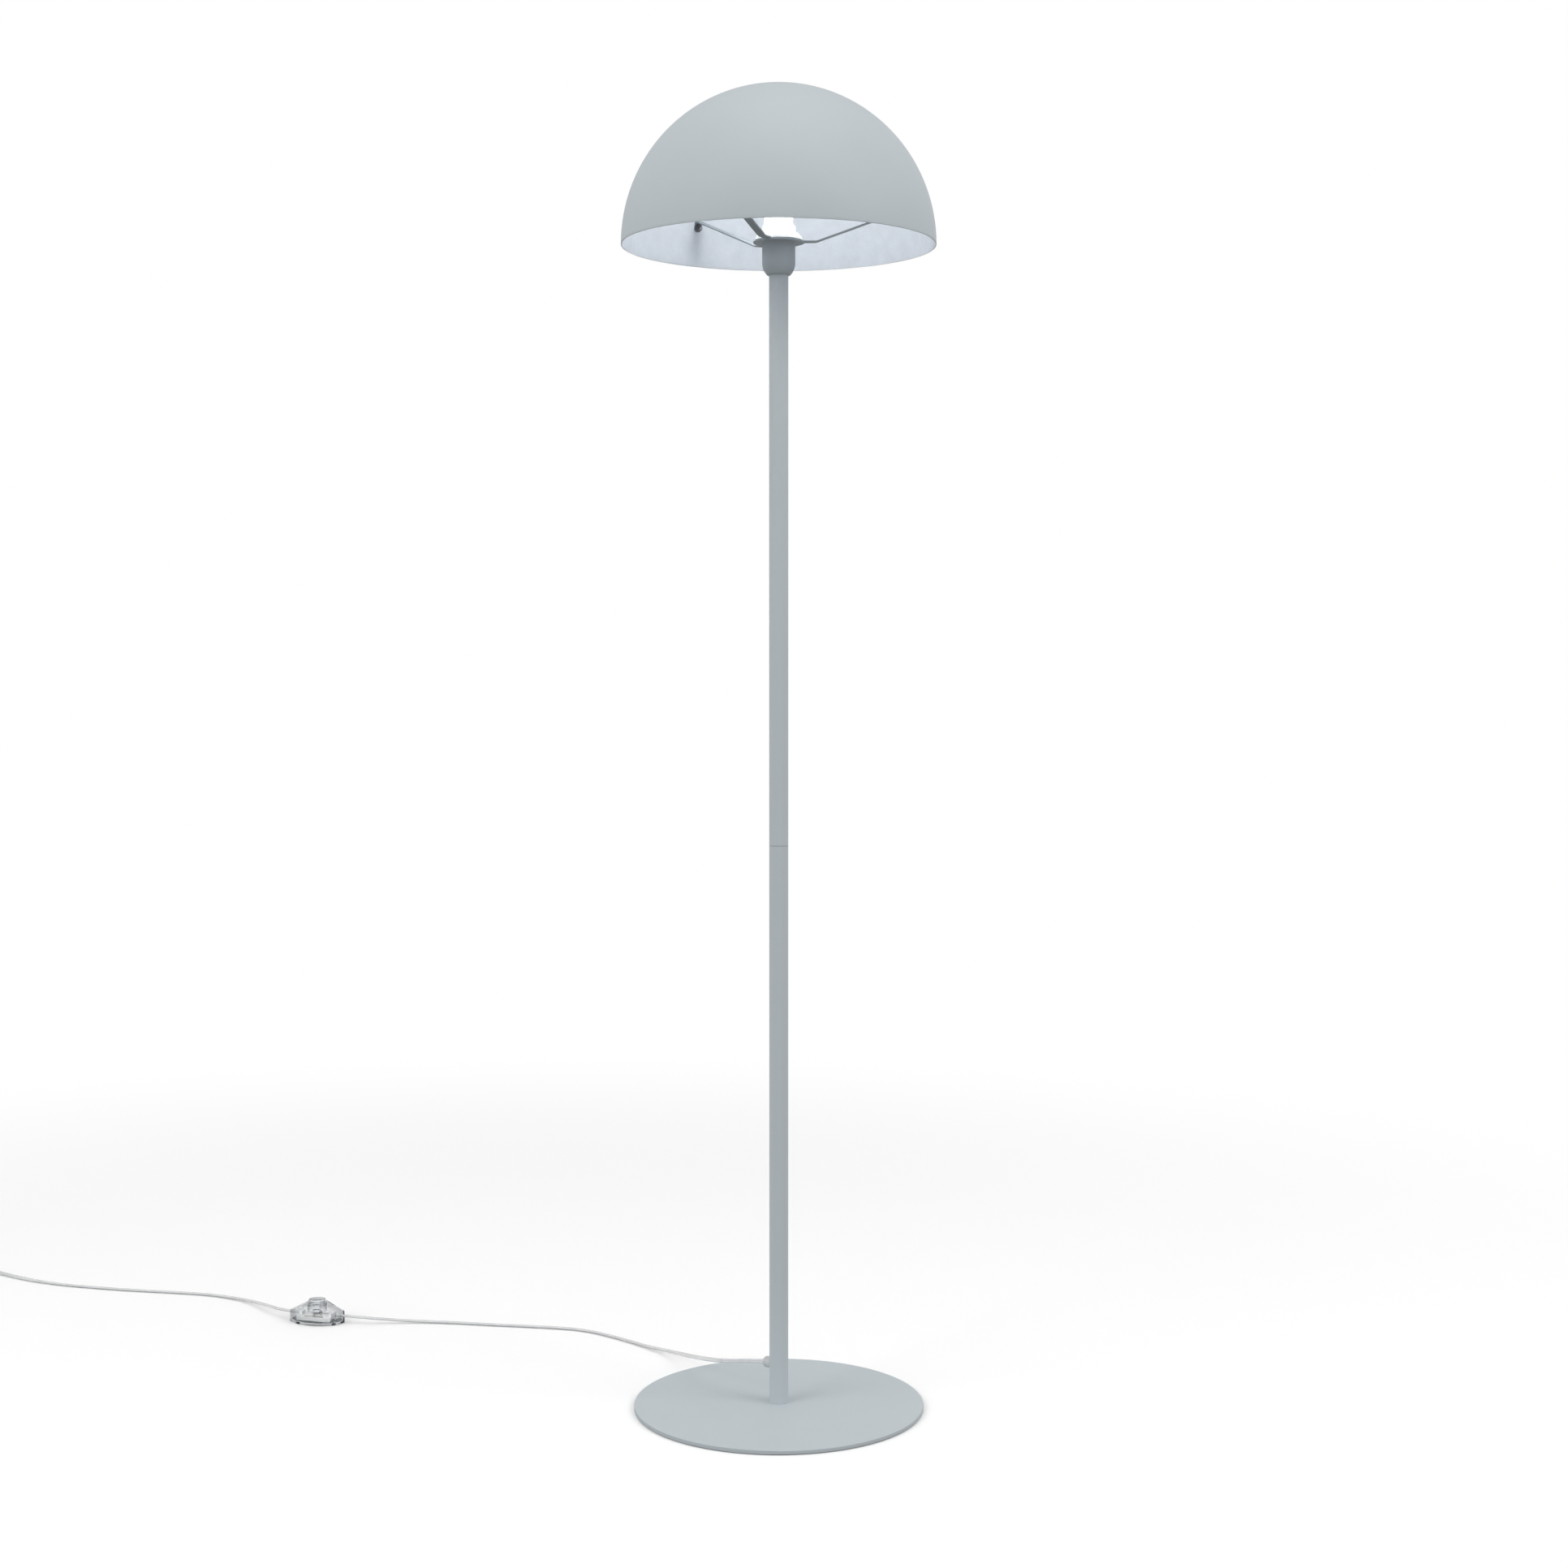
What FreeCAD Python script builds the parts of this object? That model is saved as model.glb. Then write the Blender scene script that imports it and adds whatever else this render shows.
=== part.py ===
import FreeCAD, Part
import math
import os

# Mushroom floor lamp: a flat round base, a two-piece tube pole, a lampholder cup that carries a
# three-armed spider, and a hemispherical shade over an opal bulb. A flat twin cord leaves the foot of
# the pole, passes a clear foot switch and ends in a two-pin plug.
# Millimetres, +Z up, origin on the floor below the pole's axis. +X is right, -Y faces the viewer.

V = FreeCAD.Vector
UP = V(0, 0, 1)
ORIGIN = V(0, 0, 0)

# ---------------------------------------------------------------- driving dimensions
seat_gap = 0.05          # radial play of a piece that seats in or on another
soft_gap = 0.1           # play round a cord in a hole

# base
felt_thickness = 0.5
felt_radius = 160.0
felt_hole_radius = 15.0
base_radius = 165.0
base_thickness = 4.8
base_edge_radius = 0.8
base_screw_radius = 4.0
base_screw_head_radius = 8.0
base_screw_length = 20.0
base_screw_recess = 0.3
hex_key_width = 5.0
hex_key_depth = 2.6
foot_boss_length = 26.0

# pole
tube_radius = 10.75
tube_wall = 1.2
lower_tube_length = 637.7
upper_tube_length = 636.0
seam_chamfer = 0.25
bush_length = 25.0
nipple_radius = 5.0
nipple_bore_radius = 3.75
nipple_grip = 20.0       # how far a nipple reaches into a bush
locknut_height = 4.0
locknut_flats = 14.0

# cord outlet at the foot of the pole
gland_height = 43.9      # above the base's top
gland_azimuth = 145.0
gland_head_radius = 6.3
gland_head_reach = 8.3   # out from the tube's surface
gland_lip_radius = 5.2
gland_neck_radius = 4.9
gland_inner_reach = 1.0  # past the tube's inner wall
gland_edge_radius = 0.9

# lampholder
cup_radius = 18.4
cup_wall = 1.2
cup_height = 36.5
cup_round_height = 13.0
flange_radius = 28.3
flange_thickness = 1.2
flange_fillet = 1.2
skirt_radius = 18.8
skirt_wall = 5.0
skirt_rise = 17.5        # above the cup's flange
skirt_foot = 10.0        # below the cup's flange
core_height = 8.0
core_play = 0.4
shell_wall = 0.4
shell_height = 24.0
contact_width = 6.0
contact_thickness = 0.6
terminal_offset = 8.5
terminal_screw_radius = 1.75
terminal_head_radius = 3.0
terminal_head_height = 1.8
clamp_radius = 26.0
clamp_neck_radius = 21.0
clamp_height = 8.0
clamp_edge = 3.0
clamp_ribs = 24
clamp_rib_radius = 1.1

# shade and its carrier
sheet = 1.5              # thickness of the carrier
hub_radius = 27.0
arm_width = 9.0
arm_flat_reach = 42.0
arm_bend_radius = 5.0
arm_azimuths = (4.5, 124.5, 244.5)
stud_rise = 44.5         # stud's height over the rim plane, at the shade's inner wall
tab_above_stud = 6.9
tab_below_stud = 5.4
tab_bend_radius = 1.8
stud_radius = 2.0
stud_length = 8.0
nut_flats = 7.0
nut_height = 3.0
nut_flange_radius = 4.7
nut_flange_height = 1.0
shade_radius = 175.0
shade_wall = 1.2
rim_drop = 4.5           # rim plane below the top of the cup's flange

# bulb
bulb_cap_radius = 13.0
bulb_cap_length = 23.0
bulb_cap_wall = 0.5
bulb_neck_radius = 15.5
bulb_neck_length = 8.0
bulb_radius = 30.0
bulb_length = 108.0
bulb_glass_wall = 1.0
bulb_tip_radius = 4.6
bulb_tip_height = 1.4
bulb_collar_gap = 1.0    # bulb's shoulder above the lampholder's mouth

# cord
cord_diameter = 5.0
wire_diameter = 2.2
arc_share = 0.45         # share of the shorter run that an arc of the route takes

# foot switch
switch_centre = V(-595.0, 343.5, 0)
switch_turn = -17.0
switch_half_length = 35.5
switch_half_width = 22.5
switch_half_end = 7.0
switch_wall = 1.8
switch_wall_height = 14.0
switch_height = 25.0
switch_corner_radius = 3.0
switch_plate_thickness = 3.0
switch_cord_height = 10.0
crown_half_length = 14.0
crown_half_width = 13.4
crown_half_end = 6.0
button_radius = 10.5
button_top = 30.0
button_wall = 1.4
button_crown = 0.9
button_lip_radius = 11.3
button_lip_height = 1.6
guide_wall = 1.0
guide_length = 11.0
block_half_length = 24.0
block_half_width = 12.0
block_top = 8.0
block_corner_radius = 2.0
clamp_depth = 5.0
clamp_width = 9.0
spring_radius = 5.5
spring_wire_diameter = 0.8
spring_turns = 4
spring_seat_depth = 1.0
switch_screw_along = 27.6
switch_screw_across = 8.0
switch_screw_radius = 1.4
switch_screw_head_radius = 2.6
switch_screw_head_height = 1.6
switch_screw_length = 9.0
switch_post_radius = 3.2

# wound rest of the cord and the plug, past the left edge of the view
coil_centre = V(-1128.6, 558.9, 0)
coil_outer_radius = 34.0
coil_start_angle = 57.0
coil_end_angle = 1260.0
coil_pitch = 5.7
coil_lead = 8.0
tie_width = 6.0
tie_thickness = 0.8
tie_play = 0.2
tie_angle = 300.0
relief_length = 25.0
relief_tip_radius = 3.3
relief_root_radius = 4.6
plug_length = 36.0
plug_nose_width = 35.0
plug_nose_thickness = 13.6
plug_waist_width = 24.0
plug_pin_radius = 2.0
plug_pin_length = 19.0
plug_pin_spacing = 18.6
plug_pin_root = 6.0

# ---------------------------------------------------------------- heights that follow
base_top = felt_thickness + base_thickness
seam_z = base_top + lower_tube_length
pole_top = seam_z + upper_tube_length
flange_top = pole_top + cup_height
hub_top = flange_top + sheet
clamp_top = hub_top + clamp_height
rim_z = flange_top - rim_drop
skirt_top = flange_top + skirt_rise
skirt_bottom = flange_top - skirt_foot
bulb_shoulder = skirt_top + bulb_collar_gap
bulb_bottom = bulb_shoulder - bulb_cap_length
tube_bore = tube_radius - tube_wall
shade_inner = shade_radius - shade_wall
gland_z = base_top + gland_height
cord_radius = cord_diameter / 2
coil_layer = coil_pitch
coil_rest = cord_radius + tie_thickness + 2 * tie_play
plug_axis_z = coil_rest + coil_layer

# ---------------------------------------------------------------- the cord's route, chosen by hand
# From the gland, down past the edge of the base and along the floor to the foot switch.
lamp_route = [
    V(-15.60, 10.92, 49.2),
    V(-36.0, 26.5, 45.0),
    V(-66.0, 58.0, 35.0),
    V(-88.0, 98.0, 25.5),
    V(-107.0, 141.0, 15.5),
    V(-130.0, 188.0, 6.6),
    V(-163.0, 224.0, 2.8),
    V(-205.0, 266.0, 2.6),
    V(-250.0, 300.0, 2.6),
    V(-306.0, 311.5, 2.6),
    V(-366.0, 320.5, 2.6),
    V(-428.0, 332.0, 2.6),
    V(-485.0, 333.5, 4.2),
    V(-535.7, 325.4, 10.0),
    V(-572.0, 336.5, 10.0),
]
# From the foot switch along the floor to the wound rest, past the left edge of the view.
plug_route = [
    V(-618.0, 350.5, 10.0),
    V(-641.0, 357.5, 10.0),
    V(-670.0, 392.0, 7.5),
    V(-704.0, 431.0, 3.6),
    V(-757.0, 461.0, 2.6),
    V(-815.0, 473.5, 2.6),
    V(-875.0, 484.0, 2.6),
    V(-932.0, 498.5, 2.6),
    V(-985.0, 515.0, 2.6),
    V(-1033.0, 538.0, 2.6),
    V(-1076.0, 566.5, 3.0),
    V(-1103.2, 583.2, 3.6),
]


# ---------------------------------------------------------------- helpers
def save(name, shape):
    """Write one sub-part, after a look at its solids."""
    bad = not shape.isValid() or not shape.Solids or shape.Volume <= 0
    print(f"{name:22s} solids {len(shape.Solids):2d}  volume {shape.Volume:12.1f}" + ("  BAD" if bad else ""))
    shape.exportStep(os.path.join("parts", name + ".step"))


def polar(radius, degrees, z=0.0):
    angle = math.radians(degrees)
    return V(radius * math.cos(angle), radius * math.sin(angle), z)


def cylinder(radius, low, high, centre=ORIGIN):
    return Part.makeCylinder(radius, high - low, V(centre.x, centre.y, low), UP)


def pipe(outer, inner, low, high, centre=ORIGIN):
    return cylinder(outer, low, high, centre).cut(cylinder(inner, low - 1, high + 1, centre))


def turned(points):
    """Revolve a closed outline of (radius, z) points round the Z axis. A 3-tuple bulges an arc through
    its point: (radius, z, "arc") is a mid-point between its neighbours."""
    edges = []
    count = len(points)
    at = 0
    while at < count:
        start = V(points[at][0], 0, points[at][1])
        after = points[(at + 1) % count]
        if len(after) == 3:
            end = points[(at + 2) % count]
            middle = V(after[0], 0, after[1])
            edges.append(Part.Arc(start, middle, V(end[0], 0, end[1])).toShape())
            at += 2
        else:
            edges.append(Part.LineSegment(start, V(after[0], 0, after[1])).toShape())
            at += 1
    return Part.Face(Part.Wire(edges)).revolve(ORIGIN, UP, 360)


def hexagon(flats, low, high, centre=ORIGIN):
    corners = [polar(flats / math.sqrt(3), 60 * k, low) + centre for k in range(7)]
    return Part.Face(Part.makePolygon(corners)).extrude(UP * (high - low))


def rounded(shape, radius, chosen):
    """Fillet the edges that the test chooses."""
    edges = [edge for edge in shape.Edges if chosen(edge)]
    return shape.makeFillet(radius, edges)


def is_circle(edge, radius, z):
    curve = edge.Curve
    if not isinstance(curve, Part.Circle):
        return False
    return abs(curve.Radius - radius) < 1e-4 and abs(curve.Center.z - z) < 1e-4


def arc_from_tangent(start, tangent, end):
    """Edge of the circular arc that leaves start along tangent and reaches end."""
    chord = end - start
    along = V(chord).normalize()
    side = tangent - along * tangent.dot(along)
    if side.Length < 1e-7:
        return Part.LineSegment(start, end).toShape()
    half = tangent.getAngle(chord)
    middle = (start + end) * 0.5 + side.normalize() * (chord.Length / 2 * math.tan(half / 2))
    return Part.Arc(start, middle, end).toShape()


def biarc(start, tangent, end, end_tangent):
    """Two tangent arcs from start to end, along both tangents."""
    chord = end - start
    both = tangent + end_tangent
    spread = 2 * (1 - tangent.dot(end_tangent))
    lean = chord.dot(both)
    reach = (-lean + math.sqrt(lean * lean + spread * chord.dot(chord))) / spread
    joint = (start + tangent * reach + end - end_tangent * reach) * 0.5
    back = arc_from_tangent(end, end_tangent * -1, joint)
    return [arc_from_tangent(start, tangent, joint), Part.Edge(back.Curve, back.FirstParameter, back.LastParameter)]


def rounded_route(points, radius_limits=None):
    """Straight runs joined by tangent arcs. Returns the wire and the arcs' radii."""
    edges = []
    radii = []
    last = points[0]
    for k in range(1, len(points) - 1):
        before = points[k - 1] - points[k]
        after = points[k + 1] - points[k]
        turn = math.pi - before.getAngle(after)
        radius = arc_share * min(before.Length, after.Length) / math.tan(turn / 2)
        if radius_limits:
            radius = min(radius, radius_limits[k - 1])
        back = radius * math.tan(turn / 2)
        enter = points[k] + V(before).normalize() * back
        leave = points[k] + V(after).normalize() * back
        inward = (V(before).normalize() + V(after).normalize()).normalize()
        depth = radius / math.cos(turn / 2) - radius
        edges.append(Part.LineSegment(last, enter).toShape())
        edges.append(Part.Arc(enter, points[k] + inward * depth, leave).toShape())
        radii.append(radius)
        last = leave
    edges.append(Part.LineSegment(last, points[-1]).toShape())
    return Part.Wire(edges), radii


def tube_along(wire, radius, start, direction):
    ring = Part.Wire(Part.makeCircle(radius, start, direction))
    return wire.makePipeShell([ring], True, False)


def cord_tube(name, points, diameter):
    """Plain tube of a cord's stretch, with its radii and its volume against section times length."""
    wire, radii = rounded_route(points)
    tube = tube_along(wire, diameter / 2, points[0], points[1] - points[0])
    share = tube.Volume / (math.pi * diameter * diameter / 4 * wire.Length)
    print(f"{name}: length {wire.Length:.1f}, volume share {share:.4f}, least radius {min(radii):.1f}, radii",
          " ".join(f"{r:.0f}" for r in radii))
    return tube


def wound_tube(path, first, last, quarter_steps, radius, lead_in, lead_out):
    """Tube along path(t) for t from first to last in degrees, as biarcs of a quarter turn, with straight
    ends. Also gives its least distance to itself, surface to surface, from points on the path."""
    def tangent(t):
        step = 0.01
        return (path(t + step) - path(t - step)).normalize()

    edges = []
    start = path(first) - tangent(first) * lead_in
    if lead_in:
        edges.append(Part.LineSegment(start, path(first)).toShape())
    for k in range(quarter_steps):
        a = first + (last - first) * k / quarter_steps
        b = first + (last - first) * (k + 1) / quarter_steps
        edges += biarc(path(a), tangent(a), path(b), tangent(b))
    if lead_out:
        edges.append(Part.LineSegment(path(last), path(last) + tangent(last) * lead_out).toShape())
    wire = Part.Wire(Part.__sortEdges__(edges))
    tube = tube_along(wire, radius, start, tangent(first))
    samples = [path(first + (last - first) * k / 600) for k in range(601)]
    turn = 600 * 360 / (last - first)
    least = min(
        (p - q).Length for i, p in enumerate(samples) for q in samples[int(i + turn * 0.6):]
    ) - 2 * radius
    return tube, wire.Length, least


def place_switch(shape):
    """Carry a foot-switch piece from its own axes to where it lies on the floor."""
    shape.rotate(ORIGIN, UP, switch_turn)
    shape.translate(switch_centre)
    return shape


# ---------------------------------------------------------------- base
def make_base_felt():
    return pipe(felt_radius, felt_hole_radius, 0, felt_thickness)


def make_base_plate():
    plate = cylinder(base_radius, felt_thickness, base_top)
    plate = rounded(plate, base_edge_radius, lambda e: isinstance(e.Curve, Part.Circle))
    shank = base_screw_radius + soft_gap
    head = base_screw_head_radius + soft_gap
    cone_start = felt_thickness + base_screw_recess
    cone_end = cone_start + head - shank
    hole = turned([(0, felt_thickness - 1), (head, felt_thickness - 1), (head, cone_start),
                   (shank, cone_end), (shank, base_top + 1), (0, base_top + 1)])
    return plate.cut(hole)


def make_base_screw():
    low = felt_thickness + base_screw_recess
    cone_end = low + base_screw_head_radius - base_screw_radius
    screw = turned([(0, low), (base_screw_head_radius, low), (base_screw_radius, cone_end),
                    (base_screw_radius, low + base_screw_length), (0, low + base_screw_length)])
    return screw.cut(hexagon(hex_key_width, low - 1, low + hex_key_depth))


def make_foot_boss():
    outer = tube_bore - seat_gap
    boss = pipe(outer, base_screw_radius + seat_gap, base_top, base_top + foot_boss_length)
    return boss.makeChamfer(0.6, [e for e in boss.Edges if is_circle(e, outer, base_top + foot_boss_length)])


# ---------------------------------------------------------------- pole
def make_tube(low, high, chamfered_z):
    tube = pipe(tube_radius, tube_bore, low, high)
    return tube.makeChamfer(seam_chamfer, [e for e in tube.Edges if is_circle(e, tube_radius, chamfered_z)])


def gland_axis_shape(shape):
    """Carry a shape modelled along +Z from the pole's axis to the gland's direction and height."""
    shape.rotate(ORIGIN, V(0, 1, 0), 90)
    shape.rotate(ORIGIN, UP, gland_azimuth)
    shape.translate(V(0, 0, gland_z))
    return shape


def make_lower_tube():
    tube = make_tube(base_top, seam_z, seam_z)
    hole = gland_axis_shape(cylinder(gland_neck_radius + seat_gap, 0, tube_radius + 5))
    return tube.cut(hole)


def make_cord_gland():
    tip = tube_radius + gland_head_reach
    inner = tube_bore - gland_inner_reach
    bore = cord_radius + soft_gap
    gland = turned([
        (bore, inner), (gland_neck_radius, inner), (gland_neck_radius, tube_radius - 2),
        (gland_head_radius, tube_radius - 2), (gland_head_radius, tip - 2.4),
        (gland_head_radius - 0.4, tip - gland_edge_radius, "arc"), (gland_lip_radius, tip), (bore, tip),
    ])
    gland = gland_axis_shape(gland)
    outside = gland.cut(cylinder(tube_radius + seat_gap, gland_z - 30, gland_z + 30))
    neck = gland_axis_shape(pipe(gland_neck_radius, bore, inner, tube_radius + 2))
    return outside.fuse(neck).removeSplitter()


def make_bush(low, high):
    outer = tube_bore - seat_gap
    return pipe(outer, nipple_radius + seat_gap, low, high)


def make_nipple(low, high):
    return pipe(nipple_radius, nipple_bore_radius, low, high)


# ---------------------------------------------------------------- lampholder
def make_cup():
    """Drawn cup with a round bottom, a flat seat for the pole and a flange under the carrier."""
    centre_z = pole_top + cup_round_height
    flange_low = flange_top - flange_thickness

    def floor_radius(radius, z):
        return math.sqrt(radius * radius - (centre_z - z) ** 2)

    def on_round(radius, degrees):
        angle = math.radians(degrees)
        return (radius * math.cos(angle), centre_z - radius * math.sin(angle), "arc")

    inner = cup_radius - cup_wall
    inner_floor = pole_top + cup_wall
    mid = 22.0
    cup = turned([
        (nipple_radius + seat_gap, pole_top), (floor_radius(cup_radius, pole_top), pole_top),
        on_round(cup_radius, mid), (cup_radius, centre_z), (cup_radius, flange_low),
        (flange_radius, flange_low), (flange_radius, flange_top), (inner, flange_top), (inner, centre_z),
        on_round(inner, mid), (floor_radius(inner, inner_floor), inner_floor),
        (nipple_radius + seat_gap, inner_floor),
    ])
    return rounded(cup, flange_fillet, lambda e: is_circle(e, cup_radius, flange_low))


def make_locknut():
    low = pole_top + cup_wall
    nut = hexagon(locknut_flats, low, low + locknut_height)
    return nut.cut(cylinder(nipple_radius + seat_gap, low - 1, low + locknut_height + 1))


def make_skirt():
    """Threaded collar of the lampholder: it drops into the cup and stands out above the carrier."""
    inner = skirt_radius - skirt_wall
    foot = cup_radius - cup_wall - seat_gap
    return turned([
        (inner, skirt_bottom), (foot, skirt_bottom), (foot, flange_top + seat_gap),
        (skirt_radius, flange_top + seat_gap), (skirt_radius, skirt_top - 1.0), (skirt_radius - 1.0, skirt_top),
        (inner, skirt_top),
    ])


def make_core():
    """Insulating block that carries the contacts, below the skirt."""
    high = skirt_bottom
    low = high - core_height
    core = cylinder(cup_radius - cup_wall - core_play, low, high)
    for side in (-1, 1):
        core = core.cut(cylinder(terminal_screw_radius + seat_gap, low - 1, high + 1, V(side * terminal_offset, 0, 0)))
    for side in (-1, 1):
        core = core.cut(cylinder(wire_diameter / 2 + soft_gap, low - 1, low + 4, V(0, side * terminal_offset, 0)))
    return core


def make_terminal_screws():
    high = skirt_bottom
    low = high - core_height
    screws = []
    for side in (-1, 1):
        at = V(side * terminal_offset, 0, 0)
        shank = cylinder(terminal_screw_radius, low, high - 1, at)
        head = cylinder(terminal_head_radius, low - terminal_head_height, low, at)
        slot = Part.makeBox(2 * terminal_head_radius + 2, 0.8, 0.8,
                            V(at.x - terminal_head_radius - 1, -0.4, low - terminal_head_height - 0.01))
        screws.append(head.fuse(shank).removeSplitter().cut(slot))
    return Part.makeCompound(screws)


def make_centre_contact():
    """Sprung tongue under the bulb's tip."""
    low = skirt_bottom
    half = contact_width / 2
    t = contact_thickness
    lift = bulb_bottom - low - t - seat_gap
    profile = [V(-9, 0, low), V(-2, 0, low), V(2, 0, low + lift), V(5, 0, low + lift),
               V(5, 0, low + lift + t), V(1.8, 0, low + lift + t), V(-2.2, 0, low + t), V(-9, 0, low + t)]
    face = Part.Face(Part.makePolygon(profile + profile[:1]))
    face.translate(V(0, -half, 0))
    return face.extrude(V(0, contact_width, 0))


def make_screw_shell():
    """Brass shell that takes the bulb's cap."""
    outer = skirt_radius - skirt_wall - seat_gap
    high = skirt_top - 1.5
    return pipe(outer, outer - shell_wall, high - shell_height, high)


def make_clamp_ring():
    """Screwed ring that holds the carrier down on the flange, ribbed for the fingers."""
    bore = skirt_radius + seat_gap
    ring = turned([
        (bore, hub_top), (clamp_radius, hub_top), (clamp_radius, hub_top + clamp_edge),
        (clamp_neck_radius, clamp_top), (bore, clamp_top),
    ])
    for k in range(clamp_ribs):
        at = polar(clamp_radius, k * 360 / clamp_ribs)
        ring = ring.cut(cylinder(clamp_rib_radius, hub_top - 1, clamp_top, at))
    return ring


# ---------------------------------------------------------------- shade and carrier
stud_tilt = math.degrees(math.asin(stud_rise / shade_inner))
tab_seat = ((tab_above_stud ** 2 + (arm_width / 2) ** 2) / (2 * shade_inner)) + 0.03
tab_outer = shade_inner - tab_seat


def at_stud(along, up):
    """Point of the section through a stud: along its axis from the shade's centre, and square to it."""
    tilt = math.radians(stud_tilt)
    return V(along * math.cos(tilt) - up * math.sin(tilt), 0, rim_z + along * math.sin(tilt) + up * math.cos(tilt))


def make_arm(azimuth):
    """Strip that runs level from the hub, climbs to the shade's wall and turns down along it as a tab."""
    middle = tab_outer - sheet / 2
    level = flange_top + sheet / 2
    points = [V(skirt_radius + 3, 0, level), V(arm_flat_reach, 0, level), at_stud(middle, tab_above_stud),
              at_stud(middle, -tab_below_stud)]
    wire, radii = rounded_route(points, (arm_bend_radius, tab_bend_radius))
    half = arm_width / 2
    x = points[0].x
    corners = [V(x, -half, level - sheet / 2), V(x, half, level - sheet / 2), V(x, half, level + sheet / 2),
               V(x, -half, level + sheet / 2)]
    strip = wire.makePipeShell([Part.makePolygon(corners + corners[:1])], True, False)
    end = points[-1]
    strip = rounded(strip, half - 0.1, lambda e: abs(e.Length - sheet) < 1e-3 and (e.CenterOfMass - end).Length < half + 1)
    axis = at_stud(1, 0) - at_stud(0, 0)
    hole = Part.makeCylinder(stud_radius + seat_gap, 12, at_stud(tab_outer - 6, 0), axis)
    strip = strip.cut(hole)
    strip.rotate(ORIGIN, UP, azimuth)
    return strip


def make_carrier():
    carrier = pipe(hub_radius, skirt_radius + seat_gap, flange_top, hub_top)
    for azimuth in arm_azimuths:
        carrier = carrier.fuse(make_arm(azimuth))
    carrier = carrier.cut(cylinder(skirt_radius + seat_gap, flange_top - 1, hub_top + 1))
    return carrier.removeSplitter()


def make_shade():
    outer, inner = shade_radius, shade_inner
    lean = math.radians(45)
    return turned([
        (inner, rim_z), (outer, rim_z),
        (outer * math.cos(lean), rim_z + outer * math.sin(lean), "arc"), (0, rim_z + outer),
        (0, rim_z + inner), (inner * math.cos(lean), rim_z + inner * math.sin(lean), "arc"),
    ])


def make_studs():
    ball = Part.makeSphere(shade_inner, V(0, 0, rim_z))
    axis = at_stud(1, 0) - at_stud(0, 0)
    studs = []
    for azimuth in arm_azimuths:
        stud = Part.makeCylinder(stud_radius, stud_length + 5, at_stud(shade_inner - stud_length, 0), axis)
        stud.rotate(ORIGIN, UP, azimuth)
        studs.append(stud.common(ball).Solids[0])
    return Part.makeCompound(studs)


def make_nuts():
    nuts = []
    for azimuth in arm_azimuths:
        nut = cylinder(nut_flange_radius, 0, nut_flange_height).fuse(hexagon(nut_flats, 0, nut_height))
        nut = nut.cut(cylinder(stud_radius + seat_gap, -1, nut_height + 1)).removeSplitter()
        # the nut's seat faces outward, against the tab's inner face
        nut.rotate(ORIGIN, V(0, 1, 0), -90 - stud_tilt)
        nut.translate(at_stud(tab_outer - sheet - 0.02, 0))
        nut.rotate(ORIGIN, UP, azimuth)
        nuts.append(nut)
    return Part.makeCompound(nuts)


# ---------------------------------------------------------------- bulb

def make_bulb_cap():
    r = bulb_cap_radius
    t = bulb_cap_wall
    return turned([
        (bulb_tip_radius + 2, bulb_bottom + 2.4), (bulb_tip_radius + 4, bulb_bottom + 2.4), (r - 1, bulb_bottom + 5),
        (r, bulb_bottom + 6), (r, bulb_shoulder), (r - t, bulb_shoulder), (r - t, bulb_bottom + 6.2),
        (r - 1.4, bulb_bottom + 5.4), (bulb_tip_radius + 2, bulb_bottom + 3.0),
    ])


def make_bulb_tip():
    """Dark insulator with the metal tip's outline."""
    low = bulb_bottom
    return turned([
        (0, low), (bulb_tip_radius - 1, low), (bulb_tip_radius, low + bulb_tip_height),
        (bulb_tip_radius + 1.9, low + 2.4), (bulb_tip_radius + 1.9, low + 3.4), (0, low + 3.4),
    ])


def make_bulb_glass():
    """Opal envelope: a round head that runs down into a straight neck."""
    top = bulb_bottom + bulb_length
    head_z = top - bulb_radius
    neck_top = bulb_shoulder + bulb_neck_length

    def skin(inset):
        head = bulb_radius - inset
        neck = bulb_neck_radius - inset
        lean = math.radians(-25)
        join = (head * math.cos(lean), head_z + head * math.sin(lean))
        waist = ((join[0] + neck) / 2 - 1.0, (join[1] + neck_top) / 2, "arc")
        return join, waist, neck, head

    join, waist, neck, head = skin(0)
    join_in, waist_in, neck_in, head_in = skin(bulb_glass_wall)
    foot = bulb_cap_radius - bulb_cap_wall
    foot_top = bulb_shoulder + bulb_glass_wall
    lean = math.radians(35)
    return turned([
        (foot, bulb_shoulder), (neck, bulb_shoulder), (neck, neck_top), waist, join,
        (head * math.cos(lean), head_z + head * math.sin(lean), "arc"), (0, head_z + head),
        (0, head_z + head_in), (head_in * math.cos(lean), head_z + head_in * math.sin(lean), "arc"), join_in,
        waist_in, (neck_in, neck_top), (neck_in, foot_top), (foot, foot_top),
    ])


# ---------------------------------------------------------------- lead inside the pole
def make_inner_lead():
    """Lead from the gland's inner end up the pole's axis into the cup."""
    start_reach = tube_bore - gland_inner_reach
    top = pole_top + cup_wall + locknut_height + 4
    start = polar(start_reach, gland_azimuth, gland_z)
    corner = V(0, 0, gland_z)
    above = V(0, 0, gland_z + start_reach)
    inward = (corner - start).normalize()
    lead = start + inward * 0.3
    arc = arc_from_tangent(lead, inward, above - UP * 0.3)
    wire = Part.Wire([Part.LineSegment(start, lead).toShape(), arc,
                      Part.LineSegment(above - UP * 0.3, V(0, 0, top)).toShape()])
    return tube_along(wire, min(cord_radius, nipple_bore_radius - soft_gap), start, inward)


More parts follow.
